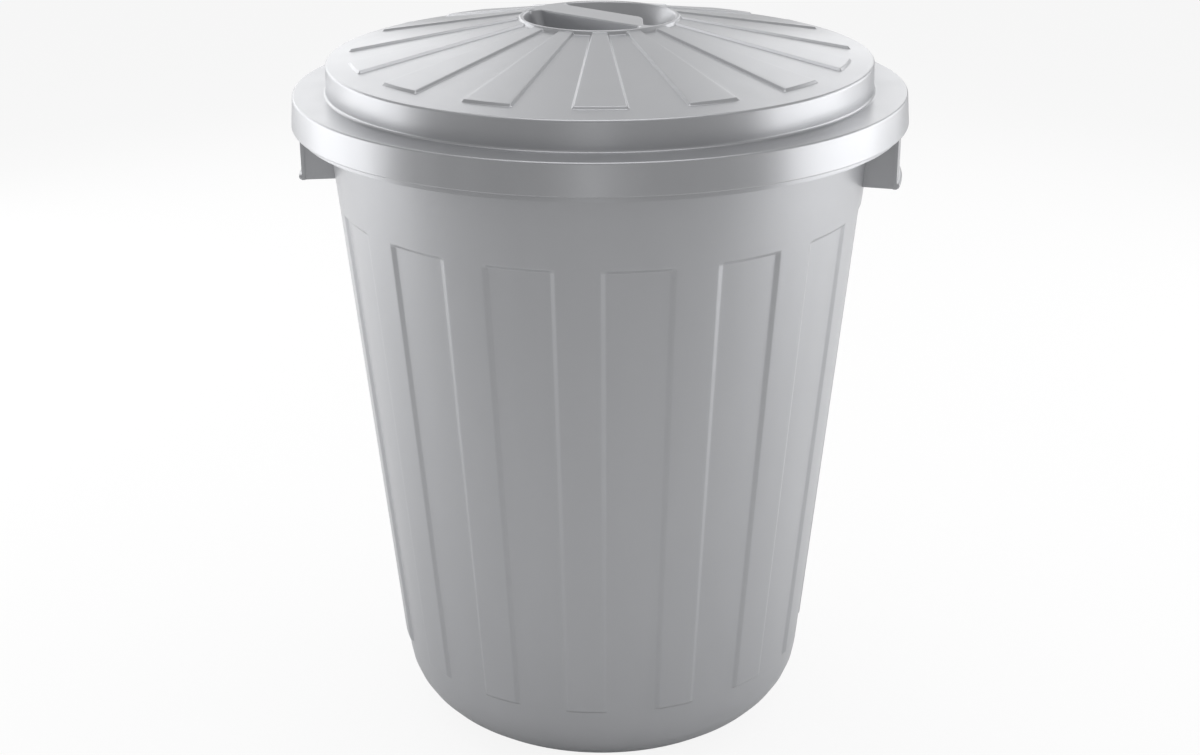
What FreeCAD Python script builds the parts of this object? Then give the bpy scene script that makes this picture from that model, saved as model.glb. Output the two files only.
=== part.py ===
import FreeCAD
import Part

import math
import os

# Round tapered bin with a lift-off lid, in millimetres. +Z is up, the bin's axis is Z and the base plane is
# z = 0. The two hand grips are on +X and -X, and one raised strip of the wall is centred on -Y.

# Bin wall
base_radius = 157.5  # face of the raised strips, carried down to the base plane
mouth_radius = 205.7  # outer face of the wall at the top of the rim
body_height = 502.0
wall = 2.5
base_corner_radius = 51.0

# Raised strips and the recessed panels between them
sector_count = 15
strip_degrees = 10.0
panel_depth = 2.0
panel_top_drop = 80.4  # top of the rim down to the tops of the panels
strip_foot_height = 60.0  # base plane up to the lower ends of the strips
strip_side_run = 3.0  # width of the sloping side of a strip
strip_root = 1.0  # how far a strip is sunk into the wall behind it

# Rim and its turned-down lip
rim_reach = 18.5  # outer face of the wall out to the lip
rim_thickness = 2.5
rim_drop = 24.6
rim_draft = 0.5
rim_edge_radius = 2.0

# Hand grips under the rim
grip_width = 90.0
grip_drop = 63.5  # top of the rim down to the bottom of the grip
grip_thickness = 2.5
grip_bead_height = 4.5
grip_bead_reach = 2.2
grip_root_radius = 5.0  # round corner between a grip's end web and the wall
grip_root_sink = 0.3  # how far that corner runs into the wall
grip_web_inset = 1.2  # end of a grip's plate in to the face of its end web

# Lid shell
lid_wall = 2.5
lid_clearance = 1.3  # lip of the rim to the skirt of the lid
skirt_drop = 22.7  # top of the lid's flange down to the edge of the skirt
skirt_draft = 1.8
lid_edge_radius = 1.6
flange_width = 24.6  # outer edge of the lid in to the dome's wall
dome_foot_radius = 2.0  # round corner between the flange and the dome's wall
dome_rise = 21.3
dome_draft = 0.6
dome_edge_radius = 2.0
cone_rise = 26.6  # edge of the dome up to the foot of the centre ring

# Raised wedges of the lid
wedge_count = 15
wedge_degrees = 11.3
wedge_rise = 1.8
wedge_side_run = 1.4
wedge_root = 0.8  # how far a wedge is sunk into the dome
wedge_end_inset = 17.0  # edge of the dome in to the outer end of a wedge
lid_turn_degrees = 4.6  # the lid stands turned on the rim by this much

# Centre ring with two finger pockets and the bar between them
ring_radius = 60.4
ring_rise = 3.2
ring_side_run = 1.2
ring_foot_radius = 0.8
ring_edge_radius = 1.2
ring_width = 3.9  # foot of the ring in to the edge of the pockets
pocket_depth = 25.0
pocket_draft = 9.0  # how far the outer wall of a pocket leans in on its way down
pocket_corner_radius = 6.0
pocket_edge_break = 1.0
pocket_floor_break = 2.5
bar_front = 12.0  # bin's axis to the front side of the bar
bar_back = 15.0  # bin's axis to the back side of the bar
bar_draft = 1.0
bar_wedge_step = 2  # the bar points along the second wedge from the front one
bar_end_inset = 25.0  # edge of the pockets in to the slanting end of the bar, which the back pocket runs round
bar_end_degrees = 48.0  # turn of that end from the length of the bar
bar_end_radius = 10.0

cut_overrun = 5.0

axis_start = FreeCAD.Vector(0, 0, 0)
axis_up = FreeCAD.Vector(0, 0, 1)
wedge_pitch_degrees = 360.0 / wedge_count

wall_slope = (mouth_radius - base_radius) / body_height
wall_lean = math.atan(wall_slope)
panel_top_height = body_height - panel_top_drop
strip_side_angle = math.atan2(panel_depth, strip_side_run)
rim_radius = mouth_radius + rim_reach
lip_radius = rim_radius + rim_draft
lip_bottom = body_height - rim_drop
grip_bottom = body_height - grip_drop

lid_seat = body_height
lid_radius = rim_radius + lid_clearance + lid_wall
flange_top = lid_seat + lid_wall
dome_foot = lid_radius - flange_width
dome_edge = dome_foot - dome_draft
dome_edge_height = flange_top + dome_rise
ring_foot_height = dome_edge_height + cone_rise
cone_slope = cone_rise / (dome_edge - ring_radius)
lid_top = ring_foot_height + ring_rise
pocket_radius = ring_radius - ring_width
pocket_floor = lid_top - pocket_depth


def point(radius, height):
    return FreeCAD.Vector(radius, 0, height)


def offset_line(corners, distance):
    # The open line of (radius, height, corner radius) moved to its left, each stretch by the same distance.
    # A round corner keeps its centre, so its radius grows or shrinks by that distance.
    sides = []
    for start, end in zip(corners, corners[1:]):
        run = end[0] - start[0]
        rise = end[1] - start[1]
        length = math.hypot(run, rise)
        along = (run / length, rise / length)
        sides.append((start[0] - along[1] * distance, start[1] + along[0] * distance, along))
    first = sides[0]
    moved = [(first[0], first[1], 0)]
    for before, after, corner in zip(sides, sides[1:], corners[1:-1]):
        turn = before[2][0] * after[2][1] - before[2][1] * after[2][0]
        gap_x = after[0] - before[0]
        gap_z = after[1] - before[1]
        reach = (gap_x * after[2][1] - gap_z * after[2][0]) / turn
        radius = corner[2] - math.copysign(distance, turn) if corner[2] else 0
        moved.append((before[0] + before[2][0] * reach, before[1] + before[2][1] * reach, max(radius, 0)))
    last = sides[-1]
    end_run = (corners[-1][0] - last[0]) * last[2][0] + (corners[-1][1] - last[1]) * last[2][1]
    moved.append((last[0] + last[2][0] * end_run, last[1] + last[2][1] * end_run, 0))
    return moved


def rounded_face(corners):
    # A flat face in the XZ plane through (radius, height, corner radius), with its corners rounded.
    edges = []
    arcs = []
    count = len(corners)
    for index in range(count):
        corner = point(corners[index][0], corners[index][1])
        radius = corners[index][2]
        before = point(corners[index - 1][0], corners[index - 1][1]) - corner
        after = point(corners[(index + 1) % count][0], corners[(index + 1) % count][1]) - corner
        half_angle = before.getAngle(after) / 2
        before.normalize()
        after.normalize()
        reach = radius / math.tan(half_angle)
        middle = before + after
        middle.normalize()
        inset = radius / math.sin(half_angle) - radius
        arcs.append((corner + before * reach, corner + middle * inset, corner + after * reach, radius))
    for index in range(count):
        arrive, crown, leave, radius = arcs[index]
        if radius:
            edges.append(Part.Arc(arrive, crown, leave).toShape())
        edges.append(Part.LineSegment(leave, arcs[(index + 1) % count][0]).toShape())
    return Part.Face(Part.Wire(edges))


def turned(corners):
    return rounded_face(corners).revolve(axis_start, axis_up, 360)


def wall_radius(height):
    return base_radius + wall_slope * height


def panel_radius(height):
    return wall_radius(height) - panel_depth


def strip_section(height, inset):
    # One strip across, seen from above: an arc outside, an arc sunk into the wall inside and sloping sides.
    outer = wall_radius(height) - inset / math.cos(wall_lean)
    inner = outer - panel_depth - strip_root
    half_width = wall_radius(height) * math.radians(strip_degrees) / 2
    narrowing = strip_side_run / 2 + inset * math.tan(strip_side_angle / 2)
    outer_half = (half_width - narrowing) / outer
    root_run = strip_side_run * (panel_depth + strip_root) / panel_depth
    inner_half = (half_width - narrowing + root_run) / inner

    def place(radius, angle):
        return FreeCAD.Vector(radius * math.sin(angle), -radius * math.cos(angle), height)

    outside = Part.Arc(place(outer, -outer_half), place(outer, 0), place(outer, outer_half))
    right = Part.LineSegment(place(outer, outer_half), place(inner, inner_half))
    inside = Part.Arc(place(inner, inner_half), place(inner, 0), place(inner, -inner_half))
    left = Part.LineSegment(place(inner, -inner_half), place(outer, -outer_half))
    return Part.Wire([outside.toShape(), right.toShape(), inside.toShape(), left.toShape()])


def ring_of(shape, count, start_degrees):
    copies = []
    for index in range(count):
        copy = shape.copy()
        copy.rotate(axis_start, axis_up, start_degrees + index * 360.0 / count)
        copies.append(copy)
    return copies


def bin_form(inset, top):
    # The wall's form moved inwards by the inset: the outside at 0, and the inside at the wall's thickness.
    foot = inset
    step = panel_top_height + inset
    strip_foot = strip_foot_height + inset
    radial = inset / math.cos(wall_lean)
    profile = [
        (0, foot, 0),
        (panel_radius(foot) - radial, foot, base_corner_radius - inset),
        (panel_radius(step) - radial, step - panel_depth, 0),
        (wall_radius(step) - radial, step, 0),
        (wall_radius(top) - radial, top, 0),
        (0, top, 0),
    ]
    strip = Part.makeLoft([strip_section(strip_foot, inset), strip_section(step, inset)], True, True)
    return turned(profile).fuse(ring_of(strip, sector_count, 0))


def rim():
    wall_middle = mouth_radius - wall / 2
    return turned([
        (wall_middle, body_height, 0),
        (rim_radius, body_height, rim_edge_radius),
        (lip_radius, lip_bottom, 0),
        (lip_radius - rim_thickness, lip_bottom, 0),
        (rim_radius - rim_thickness, body_height - rim_thickness, 0),
        (wall_middle, body_height - rim_thickness, 0),
    ])


def web_section(height, side):
    # One end web of a grip across, seen from above and lying along X: its outer face is on the X axis, and a
    # round corner joins that face to the wall.
    outside = lip_radius - grip_thickness / 2
    surface = wall_radius(height)
    middle = surface - wall / 2
    sunk = surface - grip_root_sink
    centre_x = math.sqrt((sunk + grip_root_radius) ** 2 - grip_root_radius ** 2)
    wall_angle = math.atan2(grip_root_radius, centre_x)
    bend_angle = (wall_angle + math.pi + math.pi * 3 / 2) / 2
    bend_x = centre_x + grip_root_radius * math.cos(bend_angle)
    bend_y = grip_root_radius + grip_root_radius * math.sin(bend_angle)

    def place(x, y):
        return FreeCAD.Vector(x, side * y, height)

    def behind(radius):
        return place(math.sqrt(radius ** 2 - grip_thickness ** 2), -grip_thickness)

    def at_corner(radius):
        return place(radius * math.cos(wall_angle), radius * math.sin(wall_angle))

    edges = [
        Part.Arc(place(centre_x, 0), place(bend_x, bend_y), at_corner(sunk)),
        Part.LineSegment(at_corner(sunk), at_corner(middle)),
        Part.LineSegment(at_corner(middle), behind(middle)),
        Part.LineSegment(behind(middle), behind(outside)),
        Part.LineSegment(behind(outside), place(outside, 0)),
        Part.LineSegment(place(outside, 0), place(centre_x, 0)),
    ]
    return Part.Wire([edge.toShape() for edge in edges])


def grip():
    # One hand grip on +X: a plate below the lip, with a bead along its lower edge, and a web at each end.
    half_degrees = math.degrees(math.asin(grip_width / 2 / lip_radius))
    inset_degrees = math.degrees(grip_web_inset / lip_radius)
    plate_inside = lip_radius - grip_thickness
    bead_top = grip_bottom + grip_bead_height
    bead_crown = point(lip_radius + grip_bead_reach, grip_bottom + grip_bead_height / 2)
    plate_edges = [
        Part.LineSegment(point(plate_inside, grip_bottom), point(plate_inside, lip_bottom)),
        Part.LineSegment(point(plate_inside, lip_bottom), point(lip_radius, lip_bottom)),
        Part.LineSegment(point(lip_radius, lip_bottom), point(lip_radius, bead_top)),
        Part.Arc(point(lip_radius, bead_top), bead_crown, point(lip_radius, grip_bottom)),
        Part.LineSegment(point(lip_radius, grip_bottom), point(plate_inside, grip_bottom)),
    ]
    plate_face = Part.Face(Part.Wire([edge.toShape() for edge in plate_edges]))
    plate_face.rotate(axis_start, axis_up, -half_degrees)
    plate = plate_face.revolve(axis_start, axis_up, 2 * half_degrees)
    web_top = body_height - rim_thickness / 2
    webs = []
    for side in (-1, 1):
        web = Part.makeLoft([web_section(grip_bottom, side), web_section(web_top, side)], True, True)
        web.rotate(axis_start, axis_up, side * (half_degrees - inset_degrees))
        webs.append(web)
    return plate.fuse(webs)


def bin_body():
    shell = bin_form(0, body_height).cut(bin_form(wall, body_height + cut_overrun))
    return shell.fuse([rim()] + ring_of(grip(), 2, 0)).removeSplitter()


def lid_line():
    # The outside of the lid from the edge of the skirt up to the middle.
    return [
        (lid_radius + skirt_draft, flange_top - skirt_drop, 0),
        (lid_radius, flange_top, lid_edge_radius),
        (dome_foot, flange_top, dome_foot_radius),
        (dome_edge, dome_edge_height, dome_edge_radius),
        (ring_radius, ring_foot_height, ring_foot_radius),
        (ring_radius - ring_side_run, lid_top, ring_edge_radius),
        (0, lid_top, 0),
    ]


def wedge(inset):
    # One raised wedge on -Y, from under the ring to near the dome's edge, as a loft of two cross sections.
    outer_radius = dome_edge - wedge_end_inset - inset
    inner_radius = ring_radius - ring_side_run - inset
    side_angle = math.atan2(wedge_rise, wedge_side_run)
    lower = inset * math.hypot(1, cone_slope)
    half_tangent = math.tan(math.radians(wedge_degrees) / 2)
    narrowing = inset * math.tan(side_angle / 2)
    sections = []
    for radius in (outer_radius, inner_radius):
        cone_height = dome_edge_height + (dome_edge - radius) * cone_slope - lower
        half_root = radius * half_tangent - narrowing + wedge_side_run * wedge_root / wedge_rise
        half_top = radius * half_tangent - narrowing - wedge_side_run
        low = cone_height - wedge_root
        high = cone_height + wedge_rise
        sections.append(Part.makePolygon([
            FreeCAD.Vector(-half_root, -radius, low),
            FreeCAD.Vector(half_root, -radius, low),
            FreeCAD.Vector(half_top, -radius, high),
            FreeCAD.Vector(-half_top, -radius, high),
            FreeCAD.Vector(-half_root, -radius, low),
        ]))
    return Part.makeLoft(sections, True, True)


def lid_form(inset):
    line = offset_line(lid_line(), inset)
    skirt_foot = line[0]
    below = flange_top - skirt_drop - (cut_overrun if inset else 0)
    skirt_lean = skirt_draft / skirt_drop
    line[0] = (skirt_foot[0] + (skirt_foot[1] - below) * skirt_lean, below, 0)
    profile = line + [(0, below, 0)]
    wedges = ring_of(wedge(inset), wedge_count, lid_turn_degrees)
    return turned(profile).fuse(wedges)


def pocket_sides(height, grow):
    # How far the ring's arc of a pocket is from the axis at a height, and how far the bar's sides have moved.
    depth = lid_top - height
    radius = pocket_radius - pocket_draft * depth / pocket_depth + grow
    shift = bar_draft * depth / pocket_depth - grow
    return radius, shift


def pocket_corner(height, radius, side, corner, turn_degrees, end):
    # The round corner from a straight side to the ring's arc: its start, middle and end. The side is square to
    # the Y axis before it is turned, and end is 1 for its +X end and -1 for its -X end.
    centre_y = side + corner
    centre_x = math.sqrt((radius - corner) ** 2 - centre_y ** 2)
    arc_angle = math.atan2(centre_y, centre_x)
    bend_angle = (arc_angle - math.pi / 2) / 2
    places = [
        (centre_x, side),
        (centre_x + corner * math.cos(bend_angle), centre_y + corner * math.sin(bend_angle)),
        (radius * math.cos(arc_angle), radius * math.sin(arc_angle)),
    ]
    turn = FreeCAD.Rotation(axis_up, turn_degrees)
    return [turn.multVec(FreeCAD.Vector(end * x, y, height)) for x, y in places]


def front_pocket(height, grow):
    # The D of the front pocket at a height, drawn on the +Y side of a bar along X.
    radius, shift = pocket_sides(height, grow)
    side = bar_front + shift
    corner = pocket_corner_radius + grow
    right = pocket_corner(height, radius, side, corner, 0, 1)
    left = pocket_corner(height, radius, side, corner, 0, -1)
    edges = [
        Part.LineSegment(left[0], right[0]),
        Part.Arc(right[0], right[1], right[2]),
        Part.Arc(right[2], FreeCAD.Vector(0, radius, height), left[2]),
        Part.Arc(left[2], left[1], left[0]),
    ]
    return Part.Wire([edge.toShape() for edge in edges])


def back_pocket(height, grow):
    # The back pocket at a height, on the +Y side too: at its +X end it runs round the slanting end of the bar.
    radius, shift = pocket_sides(height, grow)
    side = bar_back + shift
    end_side = pocket_radius - bar_end_inset + shift
    corner = pocket_corner_radius + grow
    right = pocket_corner(height, radius, end_side, corner, -bar_end_degrees, 1)
    left = pocket_corner(height, radius, side, corner, 0, -1)
    turn = math.radians(bar_end_degrees)
    bend = bar_end_radius - grow
    bend_x = (end_side - side * math.cos(turn)) / math.sin(turn) - bend * math.tan(turn / 2)

    def on_bend(angle):
        return FreeCAD.Vector(bend_x + bend * math.sin(angle), side - bend + bend * math.cos(angle), height)

    edges = [
        Part.LineSegment(left[0], on_bend(0)),
        Part.Arc(on_bend(0), on_bend(turn / 2), on_bend(turn)),
        Part.LineSegment(on_bend(turn), right[0]),
        Part.Arc(right[0], right[1], right[2]),
        Part.Arc(right[2], FreeCAD.Vector(0, radius, height), left[2]),
        Part.Arc(left[2], left[1], left[0]),
    ]
    return Part.Wire([edge.toShape() for edge in edges])


def pocket_form(outline, sections, turn_degrees):
    form = Part.makeLoft([outline(height, grow) for height, grow in sections], True, True)
    form.rotate(axis_start, axis_up, turn_degrees)
    return form


def lid():
    bar_degrees = lid_turn_degrees + bar_wedge_step * wedge_pitch_degrees - 90
    cup_bottom = pocket_floor - lid_wall
    cup = [
        (cup_bottom, lid_wall - pocket_floor_break),
        (cup_bottom + pocket_floor_break, lid_wall),
        (lid_top - lid_wall / 2, lid_wall),
    ]
    hollow = [
        (pocket_floor, -pocket_floor_break),
        (pocket_floor + pocket_floor_break, 0),
        (lid_top - pocket_edge_break, 0),
        (lid_top + pocket_edge_break, 2 * pocket_edge_break),
    ]
    pockets = [(back_pocket, bar_degrees), (front_pocket, bar_degrees + 180)]
    cups = [pocket_form(outline, cup, degrees) for outline, degrees in pockets]
    hollows = [pocket_form(outline, hollow, degrees) for outline, degrees in pockets]
    shell = lid_form(0).cut(lid_form(lid_wall)).fuse(cups)
    return shell.cut(hollows).removeSplitter()


pieces = {"bin_body": bin_body(), "lid": lid()}
os.makedirs("parts", exist_ok=True)
for name, shape in pieces.items():
    shape.exportStep("parts/" + name + ".step")
    print(name, "solids", len(shape.Solids), "valid", shape.isValid(), "volume", round(shape.Volume))
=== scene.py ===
import math

import bmesh
import bpy
from mathutils import Matrix, Vector


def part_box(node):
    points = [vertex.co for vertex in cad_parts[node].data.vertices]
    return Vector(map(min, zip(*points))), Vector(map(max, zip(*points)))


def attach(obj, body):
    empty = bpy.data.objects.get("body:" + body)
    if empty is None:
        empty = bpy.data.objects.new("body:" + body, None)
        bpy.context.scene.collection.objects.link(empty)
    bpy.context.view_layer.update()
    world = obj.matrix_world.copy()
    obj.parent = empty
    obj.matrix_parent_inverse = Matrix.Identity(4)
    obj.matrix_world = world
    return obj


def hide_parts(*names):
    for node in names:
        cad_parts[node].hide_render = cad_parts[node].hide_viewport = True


# Round ribbed bin with a lift-off lid, in metres. The bin's axis is Z, the grips are on +X and -X,
# and azimuth is in degrees from -Y, the front, towards +X.

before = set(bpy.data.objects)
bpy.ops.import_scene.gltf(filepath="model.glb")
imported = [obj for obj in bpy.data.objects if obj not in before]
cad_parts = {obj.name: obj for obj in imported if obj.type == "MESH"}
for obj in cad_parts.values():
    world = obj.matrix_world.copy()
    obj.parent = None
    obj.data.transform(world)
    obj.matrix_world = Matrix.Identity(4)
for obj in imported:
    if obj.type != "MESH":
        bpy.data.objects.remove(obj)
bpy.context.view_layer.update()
bodyHigh = Vector(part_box("bin_body")[1])
lidLow, lidHigh = (Vector(corner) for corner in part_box("lid"))
stepsAround = 360  # one spin step is one degree
halfStep = 0.5
segmentDegrees = 11  # turn of a rounded corner's one segment
touching = 1e-5  # points this close count as level
nearSurface = 1e-4
zAxis = Vector((0, 0, 1))
print("frame loaded, body top", round(bodyHigh.z, 4), "lid top", round(lidHigh.z, 4))


# Tools that both mouldings share

def azimuth(point):
    return math.degrees(math.atan2(point.x, -point.y))


def offAzimuth(point, centre, pitch=360):
    return (azimuth(point) - centre + pitch / 2) % pitch - pitch / 2


def radiusOf(point):
    return math.hypot(point.x, point.y)


def setRadius(vert, radius):
    scale = radius / radiusOf(vert.co)
    vert.co.x *= scale
    vert.co.y *= scale


def turnVert(vert, degrees):
    vert.co = Matrix.Rotation(math.radians(degrees), 3, "Z") @ vert.co


def roundCorner(bm, vert, radius):
    arms = [edge.other_vert(vert).co - vert.co for edge in vert.link_edges]
    opening = arms[0].angle(arms[1])
    segments = max(3, round(math.degrees(math.pi - opening) / segmentDegrees))
    bmesh.ops.bevel(
        bm, geom=[vert], offset=radius / math.tan(opening / 2), offset_type="OFFSET",
        segments=segments, profile=0.5, affect="VERTICES", material=-1,
    )


def spinProfile(bm, corners, mark, startDegrees):
    # corners are radius, height, corner radius and mark; the mark stays with its row of points
    verts = []
    for radius, height, _, value in corners:
        vert = bm.verts.new((radius, 0, height))
        vert[mark] = value
        verts.append(vert)
    for first, second in zip(verts, verts[1:]):
        bm.edges.new((first, second))
    for vert, corner in zip(verts, corners):
        if corner[2]:
            roundCorner(bm, vert, corner[2])
    turn = Matrix.Rotation(math.radians(startDegrees), 3, "Z")
    bmesh.ops.rotate(bm, verts=bm.verts[:], cent=(0, 0, 0), matrix=turn)
    bmesh.ops.spin(
        bm, geom=bm.verts[:] + bm.edges[:], cent=(0, 0, 0), axis=zAxis, angle=2 * math.pi,
        steps=stepsAround, use_merge=True,
    )
    bmesh.ops.remove_doubles(bm, verts=bm.verts[:], dist=touching / 10)
    bmesh.ops.recalc_face_normals(bm, faces=bm.faces[:])


def softenEdges(bm, edges, offset, segments):
    bmesh.ops.bevel(
        bm, geom=edges, offset=offset, offset_type="OFFSET", segments=segments, profile=0.5,
        affect="EDGES", clamp_overlap=True, material=-1,
    )


def markedEdges(bm, mark, leastAngle):
    bm.normal_update()
    least = math.radians(leastAngle)
    picked = []
    for edge in bm.edges:
        marked = edge.verts[0][mark] and edge.verts[1][mark]
        if marked and edge.is_manifold and edge.calc_face_angle() > least:
            picked.append(edge)
    return picked


def finishMesh(bm, name, sharpDegrees):
    bmesh.ops.recalc_face_normals(bm, faces=bm.faces[:])
    for face in bm.faces:
        face.smooth = True
    for edge in bm.edges:
        edge.smooth = edge.is_manifold and edge.calc_face_angle() < math.radians(sharpDegrees)
    mesh = bpy.data.meshes.new(name)
    bm.to_mesh(mesh)
    bm.free()
    piece = bpy.data.objects.new(name, mesh)
    bpy.context.scene.collection.objects.link(piece)
    weighted = piece.modifiers.new("evenShading", "WEIGHTED_NORMAL")
    weighted.keep_sharp = True
    weighted.weight = 80
    print(name, "has", len(mesh.vertices), "points and", len(mesh.polygons), "faces")
    return piece


# Bin body

binBody = {
    "baseRadius": 0.1575,  # face of the raised strips, carried down to the floor
    "mouthRadius": 0.2057,  # outside of the wall at the rim
    "wall": 0.0025,
    "baseCorner": 0.051,
    "stripCount": 15,
    "stripDegrees": 10,
    "panelDepth": 0.002,
    "panelTopDrop": 0.0804,  # rim down to the tops of the panels
    "stripFoot": 0.060,
    "stripFootRun": 0.0016,
    "softEdge": 0.0009,
    "edgeSegments": 2,
    "leastEdgeDegrees": 10,  # flatter edges stay as they are
    "sharpDegrees": 40,
    "rimReach": 0.0185,  # outside of the wall out to the lip
    "rimThickness": 0.0025,
    "rimDraft": 0.0005,
    "rimDrop": 0.0246,
    "rimCorner": 0.002,
    "rimRoot": 0.002,
    "mouthCorner": 0.0012,
}

handGrip = {
    "halfDegrees": 11.5,
    "bottomDrop": 0.0635,  # rim down to the bottom of the grip
    "beadHeight": 0.0045,
    "beadReach": 0.0022,
    "beadSteps": 7,
    "beadEnd": 0.0015,  # length over which the bead fades out at each end
    "webThickness": 0.0025,
    "webInset": 0.0012,  # end of the plate in to the web's face
    "webCorner": 0.0045,
    "webSegments": 5,
    "cornerRoomDegrees": 1.5,
    "nextLineDegrees": 0.4,
}

bodyHeight = bodyHigh.z
rimRadius = binBody["mouthRadius"] + binBody["rimReach"]
lipRadius = rimRadius + binBody["rimDraft"]
lipBottom = bodyHeight - binBody["rimDrop"]
gripBottom = bodyHeight - handGrip["bottomDrop"]
wallSlope = (binBody["mouthRadius"] - binBody["baseRadius"]) / bodyHeight


def wallAt(height):
    return binBody["baseRadius"] + wallSlope * height


def panelAt(height):
    return wallAt(height) - binBody["panelDepth"]


def bodyCorners():
    size = binBody
    through = size["wall"] / math.cos(math.atan(wallSlope))
    underRim = bodyHeight - size["rimThickness"]
    stepTop = bodyHeight - size["panelTopDrop"]
    footLow = size["stripFoot"] - size["stripFootRun"] / 2
    footTop = size["stripFoot"] + size["stripFootRun"] / 2
    rows = [
        (panelAt(footLow), footLow, 0, 1),
        (panelAt(footTop), footTop, 0, 2),
        (panelAt(stepTop - size["panelDepth"]), stepTop - size["panelDepth"], 0, 2),
        (wallAt(stepTop), stepTop, 0, 1),
    ]
    insideRows = []
    for radius, height, corner, value in reversed(rows):
        inner = radius + wallSlope * size["wall"] - through
        insideRows.append((inner, height + size["wall"], corner, value))
    outside = [(0, 0, 0, 0), (panelAt(0), 0, size["baseCorner"], 0)] + rows
    rim = [
        (wallAt(gripBottom), gripBottom, 0, 0),
        (wallAt(underRim), underRim, size["rimRoot"], 0),
        (rimRadius - size["rimThickness"], underRim, size["rimRoot"] / 2, 0),
        (lipRadius - size["rimThickness"], lipBottom, 0, 0),
        (lipRadius, lipBottom, 0, 0),
        (rimRadius, bodyHeight, size["rimCorner"], 0),
        (binBody["mouthRadius"] - through, bodyHeight, size["mouthCorner"], 0),
    ]
    insideFoot = [
        (panelAt(size["wall"]) - through, size["wall"], size["baseCorner"] - size["wall"], 0),
        (0, size["wall"], 0, 0),
    ]
    return outside + rim + insideRows + insideFoot


def raiseStrips(bm, mark):
    pitch = 360 / binBody["stripCount"]
    for vert in bm.verts:
        if vert[mark] == 2 and abs(offAzimuth(vert.co, 0, pitch)) < binBody["stripDegrees"] / 2:
            setRadius(vert, radiusOf(vert.co) + binBody["panelDepth"])
    edges = markedEdges(bm, mark, binBody["leastEdgeDegrees"])
    softenEdges(bm, edges, binBody["softEdge"], binBody["edgeSegments"])


def onLine(vert, degrees):
    return abs(offAzimuth(vert.co, degrees)) < 0.01


def makeRoomForWeb(bm, plateEnd, end):
    # spin lines near the plate's end move along the wall and rim: two to the faces of the web,
    # and two more on the wall to leave the web's round corner its room
    outer = plateEnd - end * math.degrees(handGrip["webInset"] / lipRadius)
    inner = outer - end * math.degrees(handGrip["webThickness"] / lipRadius)
    clear = outer + end * handGrip["cornerRoomDegrees"]
    moves = [
        (plateEnd + end, clear + end * handGrip["nextLineDegrees"], binBody["rimRoot"]),
        (plateEnd, clear, binBody["rimRoot"]),
        (plateEnd - end, outer, 1),
        (plateEnd - 2 * end, inner, 1),
    ]
    for start, target, reach in moves:
        for vert in bm.verts:
            if vert.co.z < gripBottom - nearSurface or not onLine(vert, start):
                continue
            outFromWall = radiusOf(vert.co) - wallAt(vert.co.z)
            if -binBody["wall"] / 2 < outFromWall < reach + nearSurface:
                turnVert(vert, target - start)
    return outer, inner


def beadShare(vert, centre):
    inFromEnd = math.radians(handGrip["halfDegrees"] - abs(offAzimuth(vert.co, centre))) * lipRadius
    left = min(max(1 - inFromEnd / handGrip["beadEnd"], 0), 1)
    return math.sqrt(1 - left ** 2)


def gripPlate(bm, centre):
    faces = []
    for face in bm.faces:
        middle = face.calc_center_median()
        low = all(abs(vert.co.z - lipBottom) < touching for vert in face.verts)
        if low and abs(offAzimuth(middle, centre)) < handGrip["halfDegrees"]:
            faces.append(face)
    beadTop = gripBottom + handGrip["beadHeight"]
    levels = [(beadTop, 0)]
    for step in range(1, handGrip["beadSteps"] + 1):
        angle = math.pi * step / handGrip["beadSteps"]
        drop = handGrip["beadHeight"] * (1 - math.cos(angle)) / 2
        levels.append((beadTop - drop, handGrip["beadReach"] * math.sin(angle)))
    for height, reach in levels:
        made = bmesh.ops.extrude_face_region(bm, geom=faces)["geom"]
        faces = [item for item in made if isinstance(item, bmesh.types.BMFace)]
        for vert in (item for item in made if isinstance(item, bmesh.types.BMVert)):
            vert.co.z = height
            if radiusOf(vert.co) > lipRadius - binBody["rimThickness"] / 2:
                setRadius(vert, lipRadius + reach * beadShare(vert, centre))


def gripWeb(bm, line, inner):
    bm.normal_update()
    plateInside = lipRadius - binBody["rimThickness"]
    between = abs(line - inner)
    middleLine = (line + inner) / 2
    gone = []
    for face in bm.faces:
        middle = face.calc_center_median()
        if abs(offAzimuth(middle, middleLine)) > between / 2 or middle.z < gripBottom:
            continue
        radius = radiusOf(middle)
        facing = face.normal.x * middle.x + face.normal.y * middle.y
        wall = wallAt(middle.z)
        facingDown = face.normal.z < -0.3
        wallFace = wall - 10 * nearSurface < radius < wall + nearSurface and facing > 0
        plateFace = wall < radius < plateInside + nearSurface and facing < 0
        underFace = wall - nearSurface < radius < plateInside and facingDown
        if wallFace or plateFace or underFace:
            gone.append(face)
    bmesh.ops.delete(bm, geom=gone, context="FACES")
    for degrees in (line, inner):
        loop = []
        for edge in bm.edges:
            if edge.is_boundary and all(onLine(vert, degrees) for vert in edge.verts):
                loop.append(edge)
        ends = {vert for edge in loop for vert in edge.verts}
        foot = bm.edges.new([vert for vert in ends if abs(vert.co.z - gripBottom) < touching])
        bmesh.ops.edgeloop_fill(bm, edges=loop + [foot])
    bmesh.ops.edgeloop_fill(bm, edges=[edge for edge in bm.edges if edge.is_boundary])


def atWebRoot(vert, line):
    onWall = abs(radiusOf(vert.co) - wallAt(vert.co.z)) < nearSurface
    return onWall and onLine(vert, line) and vert.co.z > gripBottom - nearSurface


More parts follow.
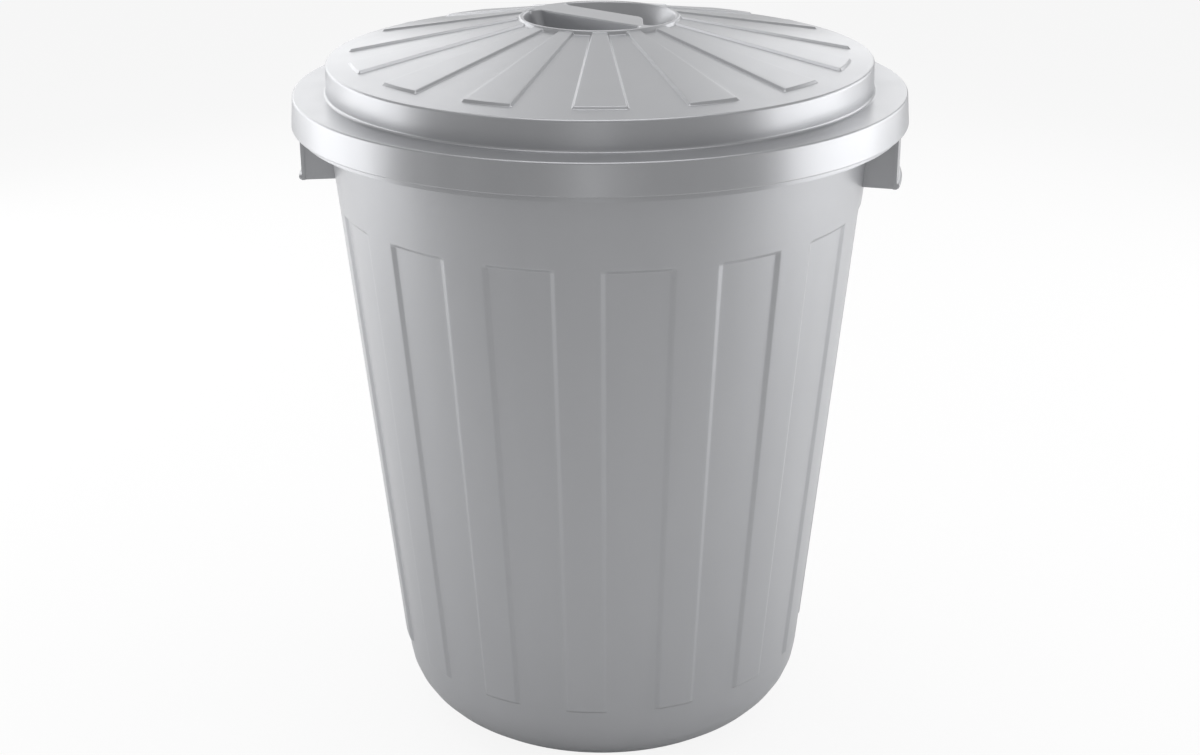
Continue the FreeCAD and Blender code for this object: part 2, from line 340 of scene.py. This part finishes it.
def addGrip(bm, centre):
    webs = []
    for end in (-1, 1):
        webs.append(makeRoomForWeb(bm, centre + end * handGrip["halfDegrees"], end))
    gripPlate(bm, centre)
    for line, inner in webs:
        gripWeb(bm, line, inner)
        roots = [edge for edge in bm.edges if all(atWebRoot(vert, line) for vert in edge.verts)]
        softenEdges(bm, roots, handGrip["webCorner"], handGrip["webSegments"])


def buildBody():
    bm = bmesh.new()
    mark = bm.verts.layers.int.new("row")
    spinProfile(bm, bodyCorners(), mark, halfStep)
    raiseStrips(bm, mark)
    for centre in (90, 270):
        addGrip(bm, centre)
    return finishMesh(bm, "binShell", binBody["sharpDegrees"])


binShell = buildBody()
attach(binShell, "bin")
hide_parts("bin_body")


# Lid

lidShape = {
    "wall": 0.0025,
    "rimClearance": 0.0013,
    "skirtDraft": 0.0018,
    "skirtEdge": 0.0008,
    "edgeCorner": 0.0016,
    "flangeWidth": 0.0246,
    "domeFoot": 0.002,
    "domeRise": 0.0213,
    "domeDraft": 0.0006,
    "domeCorner": 0.002,
    "coneRise": 0.0266,
    "wedgeCount": 15,
    "wedgeDegrees": 11.3,
    "wedgeRise": 0.0018,
    "wedgeSideRun": 0.0014,
    "wedgeEndInset": 0.017,
    "softEdge": 0.0005,
    "edgeSegments": 2,
    "leastEdgeDegrees": 10,
    "sharpDegrees": 40,
    "turnDegrees": 4.6,  # the lid stands turned on the rim by this much
    "ringRadius": 0.0604,
    "ringRise": 0.0032,
    "ringSideRun": 0.0012,
    "ringCorner": 0.0012,
    "crownInset": 0.0024,  # foot of the ring in to the flat of its crown
    "underRingInset": 0.0024,
}

fingerPocket = {
    "radius": 0.0565,
    "depth": 0.025,
    "draft": 0.009,
    "corner": 0.006,
    "edgeRound": 0.0012,
    "floorRound": 0.004,
    "roundSteps": 5,
    "barFront": 0.012,  # lid's axis to the bar's front side
    "barBack": 0.015,
    "barDraft": 0.001,
    "barWedgeStep": 2,  # the bar points along the second wedge from the front one
    "barEndInset": 0.025,  # edge of the pockets in to the slanting end of the bar
    "barEndDegrees": 48,
    "barEndRound": 0.010,
    "bendSteps": 6,
    "cornerSteps": 8,
    "arcSteps": 56,
}

lidTop = lidHigh.z
skirtBottom = lidLow.z
lidRadius = rimRadius + lidShape["rimClearance"] + lidShape["wall"]
skirtRadius = lidRadius + lidShape["skirtDraft"]
flangeTop = bodyHeight + lidShape["wall"]
domeFootRadius = lidRadius - lidShape["flangeWidth"]
domeRadius = domeFootRadius - lidShape["domeDraft"]
domeEdge = flangeTop + lidShape["domeRise"]
ringFoot = domeEdge + lidShape["coneRise"]
coneSlope = lidShape["coneRise"] / (domeRadius - lidShape["ringRadius"])
wedgeEnd = domeRadius - lidShape["wedgeEndInset"]


def coneAt(radius):
    return domeEdge + coneSlope * (domeRadius - radius)


def lidCorners():
    size = lidShape
    wall = size["wall"]
    drop = wall / math.cos(math.atan(coneSlope))
    ring = size["ringRadius"]
    endRun = size["wedgeSideRun"] / 2
    crown = ring - size["crownInset"]
    under = ring - size["underRingInset"]
    outside = [
        (crown, lidTop, 0, 0),
        (ring - size["ringSideRun"], lidTop, size["ringCorner"], 0),
        (ring, ringFoot, 0, 3),
        (wedgeEnd - endRun, coneAt(wedgeEnd - endRun), 0, 2),
        (wedgeEnd + endRun, coneAt(wedgeEnd + endRun), 0, 1),
        (domeRadius, domeEdge, size["domeCorner"], 0),
        (domeFootRadius, flangeTop, size["domeFoot"], 0),
        (lidRadius, flangeTop, size["edgeCorner"], 0),
        (skirtRadius, skirtBottom, size["skirtEdge"], 0),
    ]
    inside = [
        (skirtRadius - wall, skirtBottom, size["skirtEdge"], 0),
        (lidRadius - wall, bodyHeight, size["skirtEdge"], 0),
        (domeFootRadius - wall, bodyHeight, size["domeFoot"] + wall, 0),
        (domeRadius - wall, domeEdge - drop, size["skirtEdge"], 0),
        (wedgeEnd + endRun - wall, coneAt(wedgeEnd + endRun - wall) - drop, 0, 1),
        (wedgeEnd - endRun - wall, coneAt(wedgeEnd - endRun - wall) - drop, 0, 2),
        (ring, coneAt(ring) - drop, 0, 2),
        (under, coneAt(under) - drop, 0, 1),
    ]
    return outside + inside


def raiseWedges(bm, mark):
    size = lidShape
    pitch = 360 / size["wedgeCount"]
    half = size["wedgeDegrees"] / 2
    ringLean = size["ringSideRun"] * size["wedgeRise"] / size["ringRise"]
    for vert in bm.verts:
        if not vert[mark]:
            continue
        off = offAzimuth(vert.co, size["turnDegrees"], pitch)
        if abs(off) > half + 1:
            continue
        sideDegrees = math.degrees(size["wedgeSideRun"] / 2 / radiusOf(vert.co))
        onTop = abs(off) < half
        edgeAngle = half - sideDegrees if onTop else half + sideDegrees
        if abs(off) > half - 1:
            turnVert(vert, math.copysign(edgeAngle, off) - off)
        if onTop and vert[mark] > 1:
            vert.co.z += size["wedgeRise"]
        if onTop and vert[mark] > 2:
            setRadius(vert, radiusOf(vert.co) - ringLean)
    edges = markedEdges(bm, mark, size["leastEdgeDegrees"])
    softenEdges(bm, edges, size["softEdge"], size["edgeSegments"])


def pocketLoop(bm, height, grow, behind):
    # from the bar's right end round the arc to its left end; the back pocket also turns the slanting end
    size = fingerPocket
    down = (lidTop - height) / size["depth"]
    radius = size["radius"] - size["draft"] * down + grow
    shift = size["barDraft"] * down - grow
    corner = size["corner"] + grow
    side = size["barBack" if behind else "barFront"] + shift
    endSide = size["radius"] - size["barEndInset"] + shift if behind else side
    slant = math.radians(size["barEndDegrees"]) if behind else 0
    turn = Matrix.Rotation(-slant, 3, "Z")
    rightX = math.sqrt((radius - corner) ** 2 - (endSide + corner) ** 2)
    leftX = math.sqrt((radius - corner) ** 2 - (side + corner) ** 2)
    rightTouch = math.atan2(endSide + corner, rightX)
    leftTouch = math.atan2(side + corner, leftX)
    arcs = [
        (turn @ Vector((rightX, endSide + corner, height)), rightTouch + math.pi / 2, size["cornerSteps"]),
        (Vector((0, 0, height)), math.pi - leftTouch - rightTouch + slant, size["arcSteps"]),
        (Vector((-leftX, side + corner, height)), leftTouch + math.pi / 2, size["cornerSteps"]),
    ]
    before = set(bm.edges)
    first = bm.verts.new(turn @ Vector((rightX, endSide, height)))
    last = first
    for centre, angle, steps in arcs:
        made = bmesh.ops.spin(bm, geom=[last], cent=centre, axis=zAxis, angle=angle, steps=steps)
        last = made["geom_last"][0]
    if behind:
        bend = size["barEndRound"] - grow
        bendX = (endSide - side * math.cos(slant)) / math.sin(slant) - bend * math.tan(slant / 2)
        bendStart = bm.verts.new((bendX, side, height))
        bm.edges.new((last, bendStart))
        made = bmesh.ops.spin(
            bm, geom=[bendStart], cent=(bendX, side - bend, height), axis=zAxis, angle=-slant,
            steps=size["bendSteps"],
        )
        last = made["geom_last"][0]
    bm.edges.new((last, first))
    return [edge for edge in bm.edges if edge not in before]


def pocketMesh(sections):
    bm = bmesh.new()
    barDegrees = lidShape["turnDegrees"] + fingerPocket["barWedgeStep"] * 360 / lidShape["wedgeCount"] - 90
    for behind, degrees in ((True, barDegrees), (False, barDegrees + 180)):
        before = set(bm.verts)
        above = pocketLoop(bm, *sections[0], behind)
        for section in sections[1:]:
            below = pocketLoop(bm, *section, behind)
            bmesh.ops.bridge_loops(bm, edges=above + below)
            above = below
        bmesh.ops.edgeloop_fill(bm, edges=above)
        made = [vert for vert in bm.verts if vert not in before]
        turn = Matrix.Rotation(math.radians(degrees), 3, "Z")
        bmesh.ops.rotate(bm, verts=made, cent=(0, 0, 0), matrix=turn)
    mesh = bpy.data.meshes.new("pockets")
    bm.to_mesh(mesh)
    bm.free()
    return mesh


def fillCentre(bm, height, sections):
    pockets = pocketMesh(sections)
    bm.from_mesh(pockets)
    bpy.data.meshes.remove(pockets)
    openEdges = []
    for edge in bm.edges:
        if edge.is_boundary and all(abs(vert.co.z - height) < touching for vert in edge.verts):
            openEdges.append(edge)
    bmesh.ops.triangle_fill(bm, edges=openEdges, use_beauty=True)


def pocketSections(mouthHeight, floor, grow, edgeRound, floorRound):
    steps = fingerPocket["roundSteps"]
    angles = [math.pi / 2 * step / steps for step in range(steps + 1)]
    sections = [(mouthHeight, grow)]
    if edgeRound:
        sections = []
        for angle in angles:
            drop = edgeRound * (1 - math.cos(angle))
            sections.append((mouthHeight - drop, grow + edgeRound * (1 - math.sin(angle))))
    for angle in angles:
        rise = floorRound * (1 - math.sin(angle))
        sections.append((floor + rise, grow - floorRound * (1 - math.cos(angle))))
    return sections


def buildLid():
    bm = bmesh.new()
    mark = bm.verts.layers.int.new("row")
    spinProfile(bm, lidCorners(), mark, halfStep + lidShape["turnDegrees"])
    raiseWedges(bm, mark)
    size = fingerPocket
    wall = lidShape["wall"]
    floor = lidTop - size["depth"]
    fillCentre(bm, lidTop, pocketSections(lidTop, floor, 0, size["edgeRound"], size["floorRound"]))
    under = lidShape["ringRadius"] - lidShape["underRingInset"]
    underHeight = coneAt(under) - wall / math.cos(math.atan(coneSlope))
    fillCentre(bm, underHeight, pocketSections(underHeight, floor - wall, wall, 0, size["floorRound"]))
    return finishMesh(bm, "lidShell", lidShape["sharpDegrees"])


lidShell = buildLid()
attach(lidShell, "lid")
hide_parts("lid")


# Materials

class Shade:
    def __init__(self, tree, socket=None):
        self.tree = tree
        self.socket = socket

    def node(self, kind, settings=None, inputs=None, output=0):
        made = self.tree.nodes.new(kind)
        for name, value in (settings or {}).items():
            if name == "stops":
                for stop, (place, grey) in zip(made.color_ramp.elements, value):
                    stop.position = place
                    stop.color = (grey, grey, grey, 1)
            else:
                setattr(made, name, value)
        for name, value in (inputs or {}).items():
            if isinstance(value, Shade):
                self.tree.links.new(value.socket, made.inputs[name])
            else:
                made.inputs[name].default_value = value
        return Shade(self.tree, made.outputs[output] if made.outputs else None)

    def maths(self, operation, first, second):
        return self.node("ShaderNodeMath", {"operation": operation}, {0: first, 1: second})

    def __add__(self, other):
        return self.maths("ADD", self, other)

    def __radd__(self, other):
        return self.maths("ADD", other, self)

    def __sub__(self, other):
        return self.maths("SUBTRACT", self, other)

    def __rsub__(self, other):
        return self.maths("SUBTRACT", other, self)

    def __mul__(self, other):
        return self.maths("MULTIPLY", self, other)

    def __rmul__(self, other):
        return self.maths("MULTIPLY", other, self)


def newMaterial(name):
    material = bpy.data.materials.new(name)
    material.use_nodes = True
    material.node_tree.nodes.clear()
    return material, Shade(material.node_tree)


silverPlastic = {
    "pale": (0.495, 0.501, 0.518, 1),
    "deep": (0.445, 0.451, 0.468, 1),
    "metallic": 0.6,
    "roughness": 0.35,
    "roughnessSpread": 0.05,
    "cloudSize": 9.0,  # noise scale, per metre
    "smearSize": 60.0,
    "flowStretch": (1.0, 1.0, 0.25),
    "grainSize": 900.0,
    "grainDepth": 0.00003,
    "waveSize": 22.0,
    "waveDepth": 0.0003,
    "cloudShare": 0.7,
    "grainStrength": 0.4,
    "waveStrength": 0.5,
}


def mouldedPlastic(name, look):
    material, shade = newMaterial(name)
    place = shade.node("ShaderNodeTexCoord", output="Object")
    flow = shade.node("ShaderNodeMapping", inputs={"Vector": place, "Scale": look["flowStretch"]})

    def noise(where, size, detail):
        return shade.node("ShaderNodeTexNoise", inputs={"Vector": where, "Scale": size, "Detail": detail})

    clouds = noise(flow, look["cloudSize"], 1.0)
    smears = noise(flow, look["smearSize"], 0.0)
    grain = noise(place, look["grainSize"], 0.0)
    waves = noise(place, look["waveSize"], 0.0)
    mottle = clouds * look["cloudShare"] + smears * (1 - look["cloudShare"])
    colour = shade.node(
        "ShaderNodeMix", {"data_type": "RGBA"}, {"Factor": mottle, "A": look["deep"], "B": look["pale"]},
        output="Result",
    )
    roughness = look["roughness"] + (smears - 0.5) * look["roughnessSpread"]
    ripple = shade.node(
        "ShaderNodeBump",
        inputs={"Strength": look["waveStrength"], "Distance": look["waveDepth"], "Height": waves},
        output="Normal",
    )
    skin = shade.node(
        "ShaderNodeBump",
        inputs={
            "Strength": look["grainStrength"], "Distance": look["grainDepth"], "Height": grain,
            "Normal": ripple,
        },
        output="Normal",
    )
    surface = shade.node(
        "ShaderNodeBsdfPrincipled",
        inputs={"Base Color": colour, "Roughness": roughness, "Normal": skin, "Metallic": look["metallic"]},
    )
    shade.node("ShaderNodeOutputMaterial", inputs={"Surface": surface})
    return material


bodyPlastic = mouldedPlastic("bodyPlastic", silverPlastic)
lidPlastic = mouldedPlastic("lidPlastic", silverPlastic)
binShell.data.materials.append(bodyPlastic)
lidShell.data.materials.append(lidPlastic)
print("materials made")


# Studio

studio = {
    "floorSize": 40.0,
    "floorGap": 0.0004,
    "floorColour": (0.86, 0.86, 0.86, 1),
    "floorGlow": 0.88,  # share of plain white that the camera sees in the floor
    "worldColour": (1, 1, 1, 1),
    "worldLight": 0.39,
    "aimHeightShare": 0.6,  # of the body's height
}

lamps = [
    # name, azimuth, height, distance, width, tall, watts
    ("leftBox", -94, 0.45, 1.6, 1.2, 0.8, 8.0),
    ("leftBack", -124, 0.7, 1.6, 0.9, 1.1, 5.5),
    ("leftRear", -150, 1.1, 1.6, 0.8, 1.3, 5.0),
    ("rightBox", 92, 0.45, 1.6, 1.3, 0.8, 9.0),
    ("rightBack", 124, 0.7, 1.6, 0.9, 1.1, 6.0),
    ("rightRear", 163, 1.1, 1.6, 0.5, 1.3, 3.0),
    ("backBox", -175, 1.3, 1.6, 0.5, 1.8, 1.2),
    ("topBox", 5, 2.2, 0.1, 1.4, 1.4, 11.0),
    ("frontStrip", 2, 0.4, 1.9, 0.35, 0.6, 0.6),
]


def floorMaterial():
    material, shade = newMaterial("paleFloor")
    matte = shade.node("ShaderNodeBsdfDiffuse", inputs={"Color": studio["floorColour"]})
    glow = shade.node("ShaderNodeEmission", inputs={"Color": (1, 1, 1, 1), "Strength": 1.0})
    seen = shade.node("ShaderNodeLightPath", output="Is Camera Ray")
    above = shade.node("ShaderNodeMixShader", inputs={0: seen * studio["floorGlow"], 1: matte, 2: glow})
    below = shade.node("ShaderNodeBsdfTransparent")
    fromBelow = shade.node("ShaderNodeNewGeometry", output="Backfacing")
    shown = shade.node("ShaderNodeMixShader", inputs={0: fromBelow, 1: above, 2: below})
    shade.node("ShaderNodeOutputMaterial", inputs={"Surface": shown})
    return material


def buildFloor():
    bm = bmesh.new()
    bmesh.ops.create_grid(bm, x_segments=1, y_segments=1, size=studio["floorSize"] / 2)
    bmesh.ops.translate(bm, verts=bm.verts[:], vec=(0, 0, -studio["floorGap"]))
    mesh = bpy.data.meshes.new("paleFloor")
    bm.to_mesh(mesh)
    bm.free()
    mesh.materials.append(floorMaterial())
    floor = bpy.data.objects.new("paleFloor", mesh)
    bpy.context.scene.collection.objects.link(floor)


def buildWorld():
    world = bpy.data.worlds.new("whiteRoom")
    bpy.context.scene.world = world
    world.use_nodes = True
    world.node_tree.nodes.clear()
    shade = Shade(world.node_tree)
    room = shade.node(
        "ShaderNodeBackground", inputs={"Color": studio["worldColour"], "Strength": studio["worldLight"]},
    )
    white = shade.node("ShaderNodeBackground", inputs={"Color": (1, 1, 1, 1), "Strength": 1.0})
    seen = shade.node("ShaderNodeLightPath", output="Is Camera Ray")
    shown = shade.node("ShaderNodeMixShader", inputs={0: seen, 1: room, 2: white})
    shade.node("ShaderNodeOutputWorld", inputs={"Surface": shown})


def aim(item, place, target):
    item.location = place
    item.rotation_euler = (Vector(target) - Vector(place)).to_track_quat("-Z", "Y").to_euler()


def buildLamps():
    target = (0, 0, bodyHeight * studio["aimHeightShare"])
    for name, turn, height, distance, width, tall, watts in lamps:
        lamp = bpy.data.lights.new(name, "AREA")
        lamp.shape = "RECTANGLE"
        lamp.size = width
        lamp.size_y = tall
        lamp.energy = watts
        item = bpy.data.objects.new(name, lamp)
        bpy.context.scene.collection.objects.link(item)
        angle = math.radians(turn)
        aim(item, (distance * math.sin(angle), -distance * math.cos(angle), height), target)
        item.visible_camera = False


photoView = {
    "azimuth": 4.6,
    "distance": 1.40309,  # level distance from the bin's axis
    "sideways": -0.00116,
    "height": 0.82098,
    "pitch": 21.514,
    "roll": -0.32,
    "lens": 57.0,
}


def buildCamera():
    view = photoView
    camera = bpy.data.cameras.new("photoCamera")
    camera.sensor_width = 36
    camera.lens = view["lens"]
    item = bpy.data.objects.new("photoCamera", camera)
    bpy.context.scene.collection.objects.link(item)
    turn = Matrix.Rotation(math.radians(view["azimuth"]), 4, "Z")
    tilt = Matrix.Rotation(math.radians(90 - view["pitch"]), 4, "X")
    roll = Matrix.Rotation(math.radians(view["roll"]), 4, "Z")
    place = Matrix.Translation((view["sideways"], -view["distance"], view["height"]))
    item.matrix_world = turn @ place @ tilt @ roll
    bpy.context.scene.camera = item


buildFloor()
buildWorld()
buildLamps()
buildCamera()
bpy.context.scene.view_settings.view_transform = "Standard"
print("studio and camera set")
